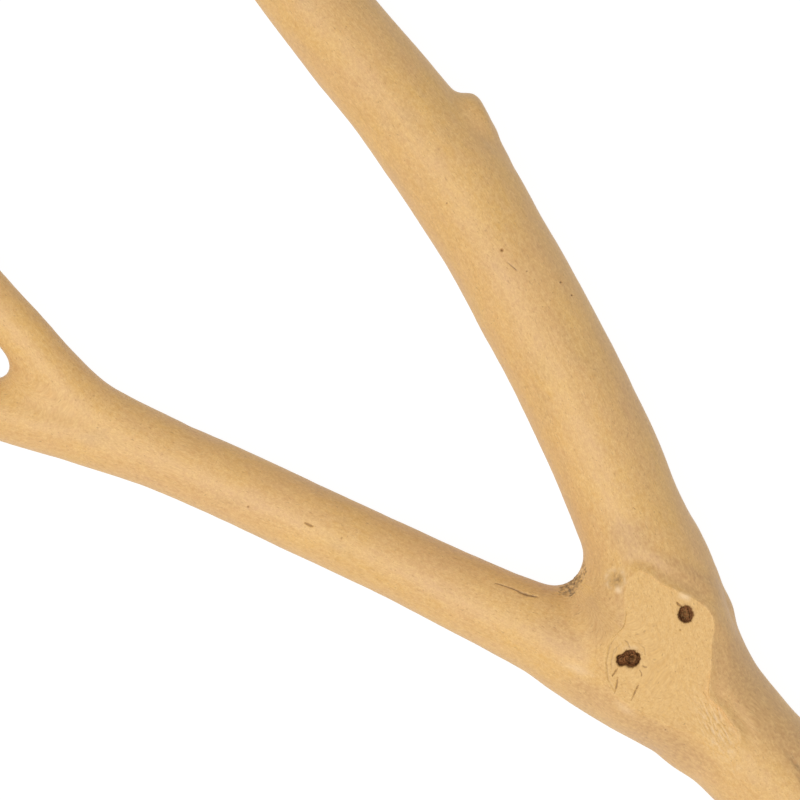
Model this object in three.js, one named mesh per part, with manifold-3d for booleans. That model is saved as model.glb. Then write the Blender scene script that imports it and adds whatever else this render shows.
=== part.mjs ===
// A forked, peeled hardwood branch that lies on three of its sawn ends.
//
// A thick stem parts into an upper limb and a thinner left limb, and the left limb parts into two
// twigs. Two shoots that faced up at the main fork are sawn off in one flat cut, and a short stub
// is left of a twig on the upper limb. Each limb is a tapered tube bent along its own axis. The
// tubes are joined into one body, which is then parted at its forks into five pieces.
//
// Millimetres, +Z up. The origin is under the middle of the whole branch, on the surface it lies on.

import * as THREE from "three";
import { mergeVertices } from "three/addons/utils/BufferGeometryUtils.js";
import Module from "manifold-3d";

// Where the main fork stands in the branch's own frame. All other places are measured from it.
const FORK = new THREE.Vector3(94, -91.5, 0);

// Stations along each limb's axis, from its thick end to its thin end: x, y, z, radius.
const LIMBS = {
  stem_and_upper: [
    [86, -86, 18.6, 18.6], [63, -63.5, 18.8, 18.2], [40, -40.5, 19, 18], [24, -24, 19.2, 18],
    [12, -10.5, 19.4, 18.2], [4, 5, 19.6, 18.6], [-1.5, 20, 19.8, 18.6], [-6, 32.5, 20.2, 18],
    [-11.5, 47, 20.8, 16.7], [-26.2, 80, 21.6, 16.3], [-42.8, 112, 21.8, 16.3],
    [-61.2, 143, 20.6, 16.3], [-71.8, 158, 19.8, 15.4], [-82.8, 172, 18.6, 15],
    [-105.5, 200, 16.6, 14.5], [-142, 251, 14.7, 14.2], [-156, 275, 14, 14],
  ],
  left: [
    [17, -17, 19.5, 17], [2, -9.5, 19.5, 17.2], [-12.3, -2, 19.5, 16.9], [-25.3, 4.7, 19.3, 15.1],
    [-37.5, 11.2, 18.8, 13.2], [-51.6, 17.5, 18.2, 12.1], [-79, 30.5, 17.5, 11.4],
    [-106.6, 43.6, 17, 11], [-134.2, 56.4, 16.6, 10.7], [-160, 67.3, 16, 10.5],
  ],
  upper_twig: [
    [-150, 63, 16.2, 10], [-164, 70.7, 16.4, 9.5], [-174.5, 79, 17.2, 8.7], [-183.4, 88, 18.6, 8.3],
    [-192.6, 98.8, 20.8, 7.8], [-203, 111, 23.2, 7.7], [-220, 132, 27, 7.5], [-252, 178, 34.5, 7.1],
  ],
  lower_twig: [
    [-150, 63, 16.2, 10.5], [-164, 67.6, 15.8, 10.3], [-177, 71.4, 15.2, 9.7],
    [-188.5, 74.2, 14.5, 9.1], [-200, 77, 13.6, 8.6], [-220, 82, 12, 8.2], [-285, 99, 7.8, 7.8],
  ],
};
const SIDES = 24;
const STEP = 6; // how far apart a limb's sections are

// The stub left of a twig on the upper limb's outer side.
const STUB = { foot: [-71, 155, 20.2], tip: [-54, 164.6, 20.2], footRadius: 10.5, tipRadius: 7.4 };

// The flat sawn face at the fork, and the collar of wood that carries it.
const SAWN_FACE = {
  centre: [-2, 3, 38.9],
  tilt: THREE.MathUtils.degToRad(2.9), // it leans towards the stem
  outline: [
    [-6, 25.7], [-10.2, 17], [-10.8, 9.5], [-15.9, 2], [-16.2, -4], [-14.4, -10], [-9, -14.5],
    [0, -21.4], [5, -23], [12, -21.6], [15.6, -13], [15, -1], [15.9, 9.5], [13.8, 14], [6, 19.4], [0, 23],
  ],
  depth: 15,
  flare: 1.3, // how much wider the collar is at its foot
};
// The piths of the two sawn shoots: place on the sawn face, half sizes and depth.
const PITHS = [
  { at: [-9.7, -1], half: [3.6, 2.8], depth: 4 },
  { at: [7.8, 12.8], half: [2.3, 2.7], depth: 3 },
];

// A pith shows as a shallow pit in each sawn end.
const PITH_SHARE = 0.14; // of the limb's radius
const PITH_DEPTH = 1.5;

// The cuts that part the branch at its forks. Each starts in the open notch of a fork.
const KERF = 0.3;
const KERF_HEIGHT = 90;
const FORK_CUTS = [
  { notch: [-27.5, 31], across: [0.92, 0.38], reach: 60 },
  { notch: [-27.5, 31], across: [-0.41, -0.91], reach: 55 },
  { notch: [-199, 91], across: [0.75, 0.66], reach: 32 },
  { notch: [-199, 91], across: [-0.26, -0.96], reach: 34 },
];

// The five pieces: a point near each one's middle tells which is which.
const PIECES = {
  stem: { near: [40, -35, 19], colour: 0xd8ab6c },
  upper_limb: { near: [-90, 155, 20], colour: 0xe0b474 },
  left_limb: { near: [-115, 50, 17], colour: 0xe2b678 },
  upper_twig: { near: [-226, 140, 28], colour: 0xe4ba80 },
  lower_twig: { near: [-243, 86, 11], colour: 0xe4ba80 },
};
const ROUGHNESS = 0.55;

const wasm = await Module();
wasm.setup();

// A closed three.js geometry as a solid that can be joined and cut.
function solidOf(geometry) {
  const bare = geometry.clone();
  bare.deleteAttribute("normal");
  bare.deleteAttribute("uv");
  const merged = mergeVertices(bare, 1e-4);
  return new wasm.Manifold(new wasm.Mesh({
    numProp: 3,
    vertProperties: new Float32Array(merged.attributes.position.array),
    triVerts: new Uint32Array(merged.index.array),
  }));
}

function geometryOf(solid) {
  const mesh = solid.getMesh();
  const geometry = new THREE.BufferGeometry();
  geometry.setAttribute("position", new THREE.BufferAttribute(mesh.vertProperties, 3));
  geometry.setIndex(new THREE.BufferAttribute(mesh.triVerts, 1));
  geometry.computeVertexNormals();
  return geometry;
}

function throughPoints(points) {
  return new THREE.CatmullRomCurve3(points, false, "catmullrom", 0.5);
}

// A limb's axis and radius as smooth curves through its stations.
function courseOf(stations) {
  return {
    axis: throughPoints(stations.map(([x, y, z]) => new THREE.Vector3(x, y, z))),
    girth: throughPoints(stations.map(([, , , radius]) => new THREE.Vector3(radius, 0, 0))),
  };
}

// The place, direction and radius of a limb at a share of its length.
function sectionAt(course, share) {
  const t = course.axis.getUtoTmapping(share);
  const along = course.axis.getTangent(t);
  const side = new THREE.Vector3().crossVectors(along, new THREE.Vector3(0, 0, 1)).normalize();
  const frame = new THREE.Matrix4();
  frame.makeBasis(side, along, new THREE.Vector3().crossVectors(side, along));
  frame.setPosition(course.axis.getPoint(t));
  return { frame, radius: course.girth.getPoint(t).x };
}

// A straight cylinder is bent so that its own axis follows the limb's.
function limbTube(course) {
  const steps = Math.ceil(course.axis.getLength() / STEP);
  const tube = new THREE.CylinderGeometry(1, 1, 1, SIDES, steps);
  const place = tube.attributes.position;
  const point = new THREE.Vector3();
  for (let i = 0; i < place.count; i += 1) {
    point.fromBufferAttribute(place, i);
    const { frame, radius } = sectionAt(course, THREE.MathUtils.clamp(point.y + 0.5, 0, 1));
    point.set(point.x * radius, 0, point.z * radius).applyMatrix4(frame);
    place.setXYZ(i, point.x, point.y, point.z);
  }
  return solidOf(tube);
}

// The shallow pith pit in a limb's sawn end: share 0 is its thick end and 1 its thin end.
function pithPit(course, share) {
  const { frame, radius } = sectionAt(course, share);
  const pit = new THREE.CylinderGeometry(radius * PITH_SHARE, radius * PITH_SHARE, 2 * PITH_DEPTH, 12);
  pit.applyMatrix4(frame);
  return solidOf(pit);
}

function twigStub() {
  const foot = new THREE.Vector3(...STUB.foot);
  const tip = new THREE.Vector3(...STUB.tip);
  const out = tip.clone().sub(foot);
  const stub = new THREE.CylinderGeometry(STUB.tipRadius, STUB.footRadius, out.length(), SIDES);
  stub.applyQuaternion(new THREE.Quaternion().setFromUnitVectors(new THREE.Vector3(0, 1, 0), out.normalize()));
  stub.translate(...foot.add(tip).divideScalar(2).toArray());
  return solidOf(stub);
}

// Puts a geometry made about the sawn face's own centre, facing +Z, in its place at the fork.
function onSawnFace(geometry) {
  geometry.rotateX(SAWN_FACE.tilt);
  geometry.translate(...SAWN_FACE.centre);
  return solidOf(geometry);
}

// The collar is the face's outline extruded, then spread towards its foot.
function sawnCollar() {
  const rim = new THREE.CatmullRomCurve3(SAWN_FACE.outline.map(([x, y]) => new THREE.Vector3(x, y, 0)), true);
  const shape = new THREE.Shape(rim.getPoints(48).slice(0, -1).map(({ x, y }) => new THREE.Vector2(x, y)));
  const collar = new THREE.ExtrudeGeometry(shape, { depth: SAWN_FACE.depth, bevelEnabled: false });
  const place = collar.attributes.position;
  for (let i = 0; i < place.count; i += 1) {
    const wide = place.getZ(i) < SAWN_FACE.depth / 2 ? SAWN_FACE.flare : 1;
    place.setXYZ(i, place.getX(i) * wide, place.getY(i) * wide, place.getZ(i) - SAWN_FACE.depth);
  }
  return onSawnFace(collar);
}

function shootPith({ at, half, depth }) {
  const pit = new THREE.CylinderGeometry(1, 1, 2 * depth, 16);
  pit.rotateX(Math.PI / 2);
  pit.scale(half[0], half[1], 1);
  pit.translate(at[0], at[1], 0);
  return onSawnFace(pit);
}

// A thin upright plate that starts in a fork's notch and crosses one limb.
function forkCut({ notch, across, reach }) {
  const plate = new THREE.BoxGeometry(reach, KERF, KERF_HEIGHT);
  plate.translate(reach / 2, 0, KERF_HEIGHT / 3);
  plate.rotateZ(Math.atan2(across[1], across[0]));
  plate.translate(notch[0], notch[1], 0);
  return solidOf(plate);
}

function wholeBranch() {
  const courses = Object.fromEntries(Object.entries(LIMBS).map(([name, stations]) => [name, courseOf(stations)]));
  const joined = Object.values(courses)
    .map(limbTube)
    .concat(twigStub(), sawnCollar())
    .reduce((branch, piece) => branch.add(piece));
  const sawnEnds = [
    pithPit(courses.stem_and_upper, 0),
    pithPit(courses.stem_and_upper, 1),
    pithPit(courses.upper_twig, 1),
    pithPit(courses.lower_twig, 1),
  ];
  return sawnEnds
    .concat(PITHS.map(shootPith), FORK_CUTS.map(forkCut))
    .reduce((branch, tool) => branch.subtract(tool), joined);
}

function middleOf(solid) {
  const { min, max } = solid.boundingBox();
  return new THREE.Vector3(...min).add(new THREE.Vector3(...max)).divideScalar(2);
}

// The solid whose middle is nearest to a piece's own point.
function pieceNear(solids, near) {
  const goal = new THREE.Vector3(...near);
  const gaps = solids.map((solid) => middleOf(solid).distanceTo(goal));
  return solids[gaps.indexOf(Math.min(...gaps))];
}

const branch = new THREE.Group();
branch.position.copy(FORK);
const solids = wholeBranch().decompose();
for (const [name, { near, colour }] of Object.entries(PIECES)) {
  const material = new THREE.MeshStandardMaterial({ color: colour, roughness: ROUGHNESS, metalness: 0 });
  const mesh = new THREE.Mesh(geometryOf(pieceNear(solids, near)), material);
  mesh.name = name;
  branch.add(mesh);
}

export default branch;
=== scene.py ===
# %% [markdown]
# # A peeled, forked branch
#
# The real thing is one piece of hardwood with its bark stripped off and its surface sanded: a stem
# that parts into an upper limb and a left limb, and a left limb that parts into two twigs. On top of
# the main fork two shoots are sawn off flat. It lies on three of its sawn ends.
#
# The frame holds five solids of the right size and place. This script grows a finer branch around
# the same axes: limbs drawn by extruding, melted into one skin, carved with small marks, and then
# parted at the same forks as the frame.

# %% Load the frame
import math

import bpy
import numpy as np
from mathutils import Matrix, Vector, noise


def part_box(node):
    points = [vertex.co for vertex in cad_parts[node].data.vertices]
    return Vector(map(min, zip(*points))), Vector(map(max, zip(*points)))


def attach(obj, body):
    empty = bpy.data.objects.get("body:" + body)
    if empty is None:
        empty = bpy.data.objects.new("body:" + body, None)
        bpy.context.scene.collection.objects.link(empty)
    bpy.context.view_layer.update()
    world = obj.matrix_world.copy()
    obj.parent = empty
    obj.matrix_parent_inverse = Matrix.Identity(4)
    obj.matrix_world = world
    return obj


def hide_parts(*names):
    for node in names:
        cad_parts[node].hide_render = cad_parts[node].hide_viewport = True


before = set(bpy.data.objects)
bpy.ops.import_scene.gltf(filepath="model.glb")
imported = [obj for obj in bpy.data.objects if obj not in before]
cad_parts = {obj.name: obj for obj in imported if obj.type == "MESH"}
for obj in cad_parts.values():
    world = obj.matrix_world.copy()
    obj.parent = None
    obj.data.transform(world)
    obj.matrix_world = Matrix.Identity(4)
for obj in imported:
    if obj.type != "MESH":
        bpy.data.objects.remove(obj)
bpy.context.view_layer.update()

MM = 0.001

# %% [markdown]
# ## Where the limbs run
#
# A limb is described as a forester would: stations along its axis, each with a place and a radius.
# They are in millimetres from the main fork, and the fork's own place comes from the frame, from the
# far corner of the stem. A smooth curve joins the stations, so a few of them are enough.

# %% The stations of each limb
butt_corner = Vector((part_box("stem")[1].x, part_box("stem")[0].y, 0))
FORK = butt_corner + Vector((-99, 99.3, 0)) * MM

STATIONS = {
    "stem_and_upper": [
        (86, -86, 18.6, 18.6), (63, -63.5, 18.8, 18.2), (40, -40.5, 19, 17.7), (23.9, -24.2, 19.2, 18),
        (11.8, -10.9, 19.4, 18.5), (4.1, 5, 19.6, 18.6), (-1.4, 20, 19.8, 18.7), (-6, 32.6, 20.2, 18),
        (-11.9, 46.9, 20.8, 16.5), (-26.3, 80, 21.6, 16.4), (-43.1, 112, 21.8, 16.3),
        (-52.1, 128.2, 21.3, 16.1), (-60.9, 143.3, 20.6, 16.3), (-72.1, 158, 19.8, 15.8),
        (-82.8, 172, 18.6, 15.1), (-105.5, 200, 16.6, 14.5), (-142, 251, 14.7, 14.2), (-156, 275, 14, 14),
    ],
    "left": [
        (17, -17, 19.5, 17), (2, -9.5, 19.5, 16.8), (-12.3, -2, 19.5, 16.5), (-25.3, 4.7, 19.3, 15.1),
        (-37.5, 11, 18.8, 13.5), (-51.7, 17.4, 18.2, 12.2), (-79, 30.6, 17.5, 11.3),
        (-106.6, 43.5, 17, 11.1), (-134.2, 56.3, 16.6, 11), (-160, 67.3, 16, 10.8),
    ],
    "upper_twig": [
        (-150, 63.3, 16.2, 11), (-164, 71.2, 16.4, 10.2), (-174.5, 79, 17.2, 8.9),
        (-183.4, 88, 18.6, 8.3), (-192.4, 99, 20.8, 8), (-203, 111, 23.2, 7.7),
        (-220, 132, 27, 7.5), (-252, 178, 34.5, 7.1),
    ],
    "lower_twig": [
        (-150, 63, 16.2, 10.6), (-164, 67.5, 15.8, 10.5), (-177, 71.3, 15.2, 10.2),
        (-188.5, 74.1, 14.5, 9.7), (-200, 76.9, 13.6, 9.1), (-220, 82, 12, 8.4), (-285, 99, 7.8, 7.8),
    ],
}
PARENTS = {"left": "stem_and_upper", "upper_twig": "left", "lower_twig": "left"}


def from_fork(x, y, z=0):
    """A place given in millimetres from the main fork."""
    return FORK + Vector((x, y, z)) * MM


def smooth_rows(rows, share):
    """Rows of numbers read off a Catmull-Rom curve, from share 0 at the first to 1 at the last."""
    rows = np.array(rows, float)
    ends = np.vstack([2 * rows[0] - rows[1], rows, 2 * rows[-1] - rows[-2]])
    place = np.clip(share, 0, 1) * (len(rows) - 1)
    first = np.minimum(place.astype(int), len(rows) - 2)
    t = (place - first)[:, None]
    a, b, c, d = (ends[first + k] for k in range(4))
    return b + t / 2 * (c - a + t * (2 * a - 5 * b + 4 * c - d + t * (3 * b - a - 3 * c + d)))


def even_course(rows, spacing):
    """The same curve, read every `spacing` along its length."""
    fine = smooth_rows(rows, np.linspace(0, 1, 3000))
    run = np.concatenate([[0], np.cumsum(np.linalg.norm(np.diff(fine[:, :3], axis=0), axis=1))])
    marks = np.linspace(0, run[-1], max(2, round(run[-1] / spacing) + 1))
    return np.stack([np.interp(marks, run, column) for column in fine.T], axis=1), marks


def limb_course(name, spacing):
    """Places, directions, radii and lengths along a limb, in metres."""
    rows, marks = even_course(STATIONS[name], spacing)
    along = np.gradient(rows[:, :3], axis=0)
    along /= np.linalg.norm(along, axis=1)[:, None]
    return rows[:, :3] * MM + np.array(FORK), along, rows[:, 3] * MM, marks * MM


for name in STATIONS:
    print(name, "is", round(limb_course(name, 2)[3][-1] / MM), "mm long")

# %% [markdown]
# ## Drawing a limb
#
# By hand, a limb is a circle at its sawn end that is extruded from station to station, turned to
# face along the limb and scaled to its girth. The rims of its two ends are creased, so that
# subdivision rounds the limb but leaves its sawn ends flat.

# %% Draw a limb by extruding
SIDES = 32
SECTION_GAP = 4  # mm
SUBDIVISION_SHRINK = (2 + math.cos(2 * math.pi / SIDES)) / 3  # how much smaller a ring becomes


def clear_selection():
    if bpy.context.object and bpy.context.object.mode != "OBJECT":
        bpy.ops.object.mode_set(mode="OBJECT")
    bpy.ops.object.select_all(action="DESELECT")


def edit(mode):
    bpy.ops.object.mode_set(mode="EDIT")
    bpy.ops.mesh.select_mode(type=mode)
    bpy.ops.mesh.select_all(action="DESELECT")


def turn_to_face(old, new, pivot):
    """Turns what is selected from facing one way to facing another, about the pivot."""
    swing = old.rotation_difference(new)
    across = swing.axis.orthogonal().normalized()
    axes = (tuple(across), tuple(swing.axis.cross(across)), tuple(swing.axis))
    bpy.ops.transform.rotate(value=swing.angle, orient_axis="Z", orient_type="GLOBAL", orient_matrix=axes,
                             orient_matrix_type="GLOBAL", constraint_axis=(False, False, True),
                             center_override=pivot)


def apply_modifier(piece, kind, **settings):
    bpy.context.view_layer.objects.active = piece
    modifier = piece.modifiers.new(kind.title(), kind)
    for setting, value in settings.items():
        setattr(modifier, setting, value)
    bpy.ops.object.modifier_apply(modifier=modifier.name)


def draw_limb(name):
    places, along, radii, _ = limb_course(name, SECTION_GAP)
    places, along = [Vector(p) for p in places], [Vector(a) for a in along]
    clear_selection()
    facing = along[0].to_track_quat("Z", "Y").to_euler()
    bpy.ops.mesh.primitive_circle_add(vertices=SIDES, radius=radii[0] / SUBDIVISION_SHRINK, fill_type="NGON",
                                      location=places[0], rotation=facing)
    limb = bpy.context.object
    limb.name = name
    edit("FACE")
    bpy.ops.mesh.select_all(action="SELECT")
    for k in range(1, len(places)):
        bpy.ops.mesh.extrude_region_move(TRANSFORM_OT_translate={"value": places[k] - places[k - 1]})
        bpy.ops.transform.resize(value=(radii[k] / radii[k - 1],) * 3, center_override=places[k])
        turn_to_face(along[k - 1], along[k], places[k])
    bpy.ops.mesh.select_all(action="DESELECT")
    bpy.ops.mesh.select_face_by_sides(number=SIDES)
    bpy.ops.mesh.region_to_loop()
    bpy.ops.transform.edge_crease(value=1)
    bpy.ops.mesh.select_all(action="SELECT")
    bpy.ops.mesh.normals_make_consistent(inside=False)
    clear_selection()
    apply_modifier(limb, "SUBSURF", levels=2, render_levels=2)
    return limb


limbs = [draw_limb(name) for name in STATIONS]
print("limbs drawn:", {limb.name: len(limb.data.polygons) for limb in limbs})

# %% [markdown]
# ## The stub
#
# A pruned twig leaves a short stub that the limb has half swallowed. A cone between two places gives
# it, and a bevel rounds its rim, which is how sanding leaves it. Extruding it from the limb's side
# would give the same, but the remesh that comes later joins the two anyway.

# %% Model the stub
STUB_FOOT = from_fork(-71, 157, 20.2)
STUB_TIP = from_fork(-53.6, 165.9, 20.2)
STUB_FOOT_RADIUS = 12.5 * MM
STUB_TIP_RADIUS = 8.3 * MM


def model_stub():
    clear_selection()
    out = STUB_TIP - STUB_FOOT
    bpy.ops.mesh.primitive_cone_add(vertices=48, radius1=STUB_FOOT_RADIUS, radius2=STUB_TIP_RADIUS,
                                    depth=out.length, location=(STUB_FOOT + STUB_TIP) / 2,
                                    rotation=out.to_track_quat("Z", "Y").to_euler())
    stub = bpy.context.object
    edit("EDGE")
    bpy.ops.object.mode_set(mode="OBJECT")
    tip = [v.index for v in stub.data.vertices if v.co.z > 0]
    for e in stub.data.edges:
        e.select = e.vertices[0] in tip and e.vertices[1] in tip
    bpy.ops.object.mode_set(mode="EDIT")
    bpy.ops.mesh.bevel(offset=2.6 * MM, segments=4, affect="EDGES")
    clear_selection()
    return stub


stub = model_stub()
print("stub stands on the upper limb:", len(stub.data.polygons), "faces")

# %% [markdown]
# ## The outline of the sawn face
#
# Where two shoots at the fork were sawn off, one flat cut is left. A closed outline and a tilt
# describe it. They are kept as numbers and not as a curve object, because later steps ask how far each
# point lies from the outline.

# %% The outline of the sawn face
SAWN_CENTRE = from_fork(-2.8, 3.8, 37.3)
SAWN_TILT = math.radians(2.9)  # the sawn face leans towards the stem
SAWN_OUTLINE = [
    (-5.4, 25.6), (-8.8, 23.6), (-10.3, 18), (-10.7, 10), (-15, 4.4), (-16.4, -2.5), (-15, -9),
    (-9.6, -14.2), (-3, -17.6), (3.7, -21.4), (9, -22.6), (13.5, -24.2), (17, -27), (20.4, -29.4),
    (23.2, -26.4),
    (23, -22), (18.6, -16), (14.6, -11.5), (15.1, -3), (15.4, 4), (16.1, 10), (13.7, 14.8), (6.2, 19),
    (0.6, 21.8),
]
RIM_POINTS = 144
sawn_axes = np.array([(1, 0, 0), (0, math.cos(SAWN_TILT), math.sin(SAWN_TILT)),
                      (0, -math.sin(SAWN_TILT), math.cos(SAWN_TILT))])


def outline_points(count):
    """Even shares of the closed outline, in metres from the sawn face's centre."""
    wrapped = SAWN_OUTLINE[-2:] + SAWN_OUTLINE + SAWN_OUTLINE[:2]
    share = (2 + np.arange(count) / count * len(SAWN_OUTLINE)) / (len(wrapped) - 1)
    return smooth_rows(wrapped, share) * MM


print("sawn face:", len(SAWN_OUTLINE), "points round it")

# %% [markdown]
# ## Melting the limbs together
#
# Wood grows over a fork in one skin. Joined tubes only pass through each other, and a boolean union
# leaves long thin faces where they meet. So a voxel remesh turns them into one skin of small squares.

# %% Join and remesh
VOXEL = 0.86 * MM


def remesh(piece, size):
    apply_modifier(piece, "REMESH", mode="VOXEL", voxel_size=size, use_smooth_shade=True)


clear_selection()
for part in [*limbs, stub]:
    part.select_set(True)
bpy.context.view_layer.objects.active = limbs[0]
bpy.ops.object.join()
branch = bpy.context.object
branch.name = "branch"
bpy.ops.object.transform_apply(location=True, rotation=True, scale=True)
remesh(branch, VOXEL)
print("one skin:", len(branch.data.polygons), "faces")

# %% [markdown]
# ## How far a point is from a limb
#
# The next steps shape the skin by distances, as a sculptor feels how deep the wood is. A limb is a
# row of balls of changing size, so a point's distance is the one from the nearest stretch of that row.
# A point's distance from the sawn face's outline is found in the same way.

# %% Distances from the limbs and the sawn face
COURSE_GAP = 2  # mm
CHUNK = 20000
COURSES = {name: limb_course(name, COURSE_GAP) for name in STATIONS}


def beside_limb(points, name):
    """Each point's distance from a limb's skin, the way out, and its place along, across and above."""
    places, along, radii, marks = COURSES[name]
    nearest = np.concatenate([
        np.argmin(((part[:, None, :] - places[None, :, :]) ** 2).sum(axis=2), axis=1)
        for part in np.array_split(points, len(points) // CHUNK + 1)])
    way, start = along[nearest], places[nearest]
    ahead = np.clip(((points - start) * way).sum(axis=1), -COURSE_GAP * MM, COURSE_GAP * MM)
    out = points - start - way * ahead[:, None]
    length = np.linalg.norm(out, axis=1)
    run = marks[nearest] + ahead
    side = np.cross(way, (0, 0, 1))
    side /= np.linalg.norm(side, axis=1)[:, None]
    above = np.cross(side, way)
    coordinates = np.stack([run, (out * side).sum(axis=1), (out * above).sum(axis=1)], axis=1)
    return length - np.interp(run, marks, radii), out / length[:, None], coordinates


def beside_outline(flat):
    """Signed distance from the sawn face's outline, negative inside, and the way out, in its own plane."""
    rim = outline_points(RIM_POINTS)
    onward = np.roll(rim, -1, axis=0) - rim
    t = ((flat[:, None] - rim) * onward).sum(axis=2) / (onward ** 2).sum(axis=1)
    away = flat[:, None] - rim - onward * np.clip(t, 0, 1)[:, :, None]
    reach = np.linalg.norm(away, axis=2)
    best = np.argmin(reach, axis=1)
    row = np.arange(len(flat))
    crossing = (rim[:, 1] > flat[:, None, 1]) != (np.roll(rim[:, 1], -1) > flat[:, None, 1])
    left_of = flat[:, None, 0] < rim[:, 0] + onward[:, 0] * (flat[:, None, 1] - rim[:, 1]) / onward[:, 1]
    inside = (crossing & left_of).sum(axis=1) % 2 == 1
    sign = np.where(inside, -1, 1)
    return reach[row, best] * sign, away[row, best] / (reach[row, best, None] + 1e-9) * sign[:, None]


def on_sawn_face(points):
    """Places in the sawn face's own axes: two in its plane, and the height above it."""
    return (points - np.array(SAWN_CENTRE)) @ sawn_axes.T


print("places along each limb:", {name: len(course[0]) for name, course in COURSES.items()})

# %% [markdown]
# ## The crotches
#
# In a real crotch the wood fills the corner with a web. So near each meeting the skin is drawn out to
# where the two shapes blend: every point moves along its own outward direction until a smooth minimum
# of the two distances is nought. Metaballs blend like this too, but they can't keep a limb's outline.

# %% Fill the crotches
def falloff(distance, reach):
    """1 at no distance, easing to 0 at the reach."""
    t = np.clip(1 - distance / reach, 0, 1)
    return t * t * (3 - 2 * t)


def vertex_rows(piece, layer="co"):
    rows = np.empty(len(piece.data.vertices) * 3)
    piece.data.vertices.foreach_get(layer, rows)
    return rows.reshape(-1, 3)


def move_vertices(piece, places):
    piece.data.vertices.foreach_set("co", places.ravel())
    piece.data.update()


def limb_skin(*names):
    """The outer skin of some limbs together, as a distance and a way out."""
    def skin(points):
        rows = [beside_limb(points, name)[:2] for name in names]
        best = np.argmin([distance for distance, _ in rows], axis=0)
        pick = np.arange(len(points))
        return np.array([d for d, _ in rows])[best, pick], np.array([out for _, out in rows])[best, pick]
    return skin


def blended(first, second, *webs):
    """Two skins melted into one: each web is a place, its reach, and how wide the blend is there."""
    def skin(points):
        (d1, out1), (d2, out2) = first(points), second(points)
        width = np.full(len(points), 1e-6)
        for spot, reach, wide in webs:
            gap = np.linalg.norm(points - np.array(from_fork(*spot)), axis=1)
            width = np.maximum(width, wide * MM * falloff(gap, reach * MM))
        share = np.clip(0.5 + 0.5 * (d2 - d1) / width, 0, 1)
        distance = d2 + (d1 - d2) * share - width * share * (1 - share)
        return distance, out1 * share[:, None] + out2 * (1 - share)[:, None]
    return skin


def draw_out(piece, skin, spot, reach):
    """Moves the piece's points near a spot onto a skin."""
    places = vertex_rows(piece)
    near = np.flatnonzero(np.linalg.norm(places - np.array(from_fork(*spot)), axis=1) < reach * MM)
    for _ in range(6):
        distance, out = skin(places[near])
        places[near] -= out * distance[:, None] / (out ** 2).sum(axis=1)[:, None]
    move_vertices(piece, places)
    return len(near)


fork_skin = blended(limb_skin("stem_and_upper"), limb_skin("left"),
                    ((-25, 26, 19.5), 38, 19), ((-12, 14, 34), 42, 22), ((3, -28, 19.5), 16, 7))
twig_skin = blended(limb_skin("left", "upper_twig"), limb_skin("lower_twig"), ((-195, 89, 15.5), 30, 13))
moved = [draw_out(branch, fork_skin, (-12, 14, 24), 50), draw_out(branch, fork_skin, (3, -28, 19.5), 16),
         draw_out(branch, twig_skin, (-195, 89, 15.5), 30)]
remesh(branch, VOXEL)
print("points drawn out:", moved, "faces:", len(branch.data.polygons))

# %% [markdown]
# ## The collar round the sawn face
#
# Wood swells where a shoot leaves it, so the sawn face stands on a low collar. The wood that faces up
# is lifted to the height of the cut, and falls away outside the outline in an even curve.

# %% Swell the collar round the sawn face
COLLAR_SLOPE = 0.35
COLLAR_ROUND = 8 * MM
COLLAR_PROUD = 0.8 * MM


def vertex_normals(piece):
    normals = np.empty(len(piece.data.vertices) * 3, np.float32)
    piece.data.vertex_normals.foreach_get("vector", normals)
    return normals.reshape(-1, 3).astype(float)


def swell_collar(piece):
    """Lifts the wood that faces up to the sawn face's height, falling away outside its outline."""
    places, outward = vertex_rows(piece), vertex_normals(piece)
    local = on_sawn_face(places)
    near = np.flatnonzero((local[:, 2] > -12 * MM) & (np.hypot(local[:, 0], local[:, 1]) < 50 * MM))
    gap, _ = beside_outline(local[near, :2])
    away = np.maximum(gap, 0)
    target = np.minimum(-gap, 1 * MM) * (gap < 0) - away * COLLAR_SLOPE - away ** 2 / (2 * COLLAR_ROUND)
    lift = target - 0.2 * MM - local[near, 2]
    raised = (lift + np.sqrt(lift ** 2 + COLLAR_PROUD ** 2)) / 2
    facing_up = 1 - falloff(np.maximum(0, outward[near, 2] - 0.2), 0.5)
    local[near, 2] += raised * facing_up * falloff(away, 22 * MM)
    move_vertices(piece, local @ sawn_axes + np.array(SAWN_CENTRE))


swell_collar(branch)
remesh(branch, VOXEL)
print("collar swollen; the branch is", [round(x / MM, 1) for x in branch.dimensions], "mm")

# %% [markdown]
# ## Smoothing
#
# A remesh leaves faint steps, which sanded wood doesn't have. A smooth modifier takes them out. Its
# vertex group says where it works harder: round the stub, where the limb flows into it.

# %% Smooth the skin
SMOOTH_ROUNDS = 6
STUB_ROUNDS = 45


def smooth_where(piece, weights, rounds):
    group = piece.vertex_groups.new(name="soft")
    for step in range(1, 11):
        chosen = np.flatnonzero(np.round(weights * 10) == step)
        group.add(chosen.tolist(), step / 10, "REPLACE")
    apply_modifier(piece, "SMOOTH", factor=0.5, iterations=rounds, vertex_group=group.name)
    piece.vertex_groups.clear()


smooth_where(branch, np.ones(len(branch.data.vertices)), SMOOTH_ROUNDS)
stub_gap = np.linalg.norm(vertex_rows(branch) - np.array(STUB_TIP), axis=1)
smooth_where(branch, falloff(np.maximum(0, stub_gap - 8 * MM), 18 * MM), STUB_ROUNDS)
print("smoothed", len(branch.data.vertices), "points")

# %% [markdown]
# ## Marks in the wood
#
# The wood is bare, so its small marks are what make it real: the pith holes, the drying cracks and the
# growth ring round them, torn fibres below the sawn face, a remnant of bark in the crotch, pinholes
# and a few nicks. Each is a place, a size and a depth. They are listed here once, because two steps
# need them: the one that makes the skin finer where they lie, and the one that carves them.

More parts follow.
